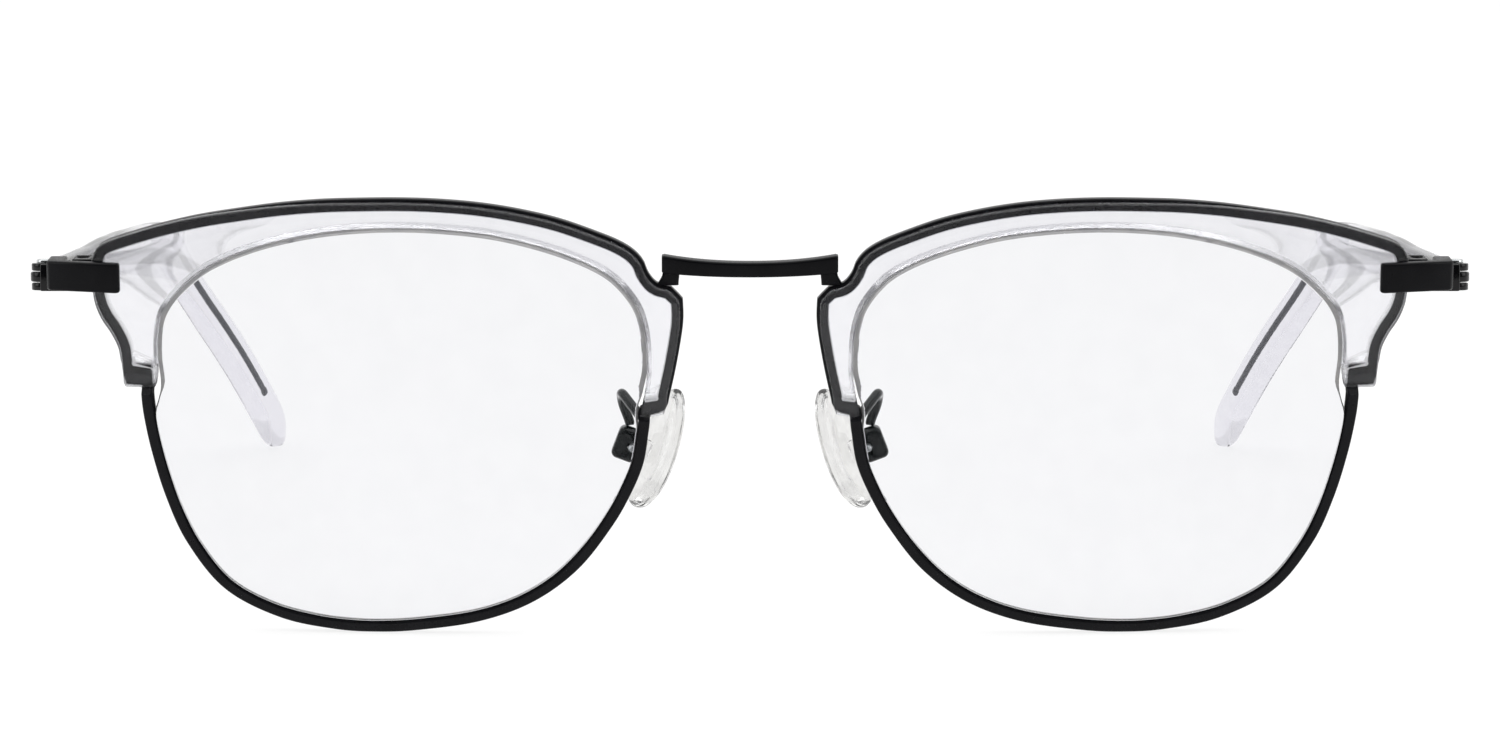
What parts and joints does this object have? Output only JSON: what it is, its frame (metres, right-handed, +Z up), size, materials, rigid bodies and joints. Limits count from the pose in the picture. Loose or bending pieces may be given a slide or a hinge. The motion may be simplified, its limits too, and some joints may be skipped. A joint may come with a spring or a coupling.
{
  "type": "eyeglasses",
  "caption": "Browline eyeglasses: slim black metal eyewires with clear brow inserts, clear lenses, adjustable silicone nose pads and folding clear temples with a metal core.",
  "frame": {"origin": "middle of the footprint at table level, with the glasses open and standing on their rim bottoms and temple tips", "axes": "+Z up, the front faces -Y, the temples run back towards +Y, +X is the wearer's left"},
  "size_m": [0.144, 0.1346, 0.0437],
  "materials": {
    "black_satin_metal": "satin black",
    "clear_acetate": "polished clear acetate",
    "clear_lens": "polished clear plastic lens",
    "clear_silicone": "clear silicone",
    "screw_steel": "bright steel",
    "dark_core_metal": "dark metal seen through the clear sleeve"
  },
  "bodies": {
    "front": {"bridge": "black_satin_metal", "right_eyewire": "black_satin_metal", "right_brow_insert": "clear_acetate", "right_lens": "clear_lens", "right_endpiece": "black_satin_metal", "right_closing_block_lower": "black_satin_metal", "right_closing_block_upper": "black_satin_metal", "right_rim_screw": "black_satin_metal", "right_front_hinge": "black_satin_metal", "right_hinge_screw": "screw_steel", "right_pad_arm": "black_satin_metal", "right_pad_box": "black_satin_metal", "right_pad_screw": "screw_steel", "left_eyewire": "black_satin_metal", "left_brow_insert": "clear_acetate", "left_lens": "clear_lens", "left_endpiece": "black_satin_metal", "left_closing_block_lower": "black_satin_metal", "left_closing_block_upper": "black_satin_metal", "left_rim_screw": "black_satin_metal", "left_front_hinge": "black_satin_metal", "left_hinge_screw": "screw_steel", "left_pad_arm": "black_satin_metal", "left_pad_box": "black_satin_metal", "left_pad_screw": "screw_steel"},
    "right_temple": {"right_temple_hinge": "black_satin_metal", "right_temple_core": "dark_core_metal", "right_temple_sleeve": "clear_acetate"},
    "left_temple": {"left_temple_hinge": "black_satin_metal", "left_temple_core": "dark_core_metal", "left_temple_sleeve": "clear_acetate"},
    "right_pad": {"right_nose_pad": "clear_silicone"},
    "left_pad": {"left_nose_pad": "clear_silicone"}
  },
  "joints": [
    {"name": "right_temple_fold", "type": "hinge", "parent": "front", "child": "right_temple", "pos_m": [-0.0705, -0.05684, 0.03505], "axis": [0, -0.061, -0.9981], "range_deg": [0, 85]},
    {"name": "left_temple_fold", "type": "hinge", "parent": "front", "child": "left_temple", "pos_m": [0.0705, -0.05684, 0.03505], "axis": [0, 0.061, 0.9981], "range_deg": [0, 77]},
    {"name": "right_pad_rock", "type": "hinge", "parent": "front", "child": "right_pad", "pos_m": [-0.0118, -0.05597, 0.01797], "axis": [0, 0.9973, 0.0741], "range_deg": [-10, 10]},
    {"name": "left_pad_rock", "type": "hinge", "parent": "front", "child": "left_pad", "pos_m": [0.0118, -0.05597, 0.01797], "axis": [0, 0.9973, 0.0741], "range_deg": [-10, 10]}
  ]
}
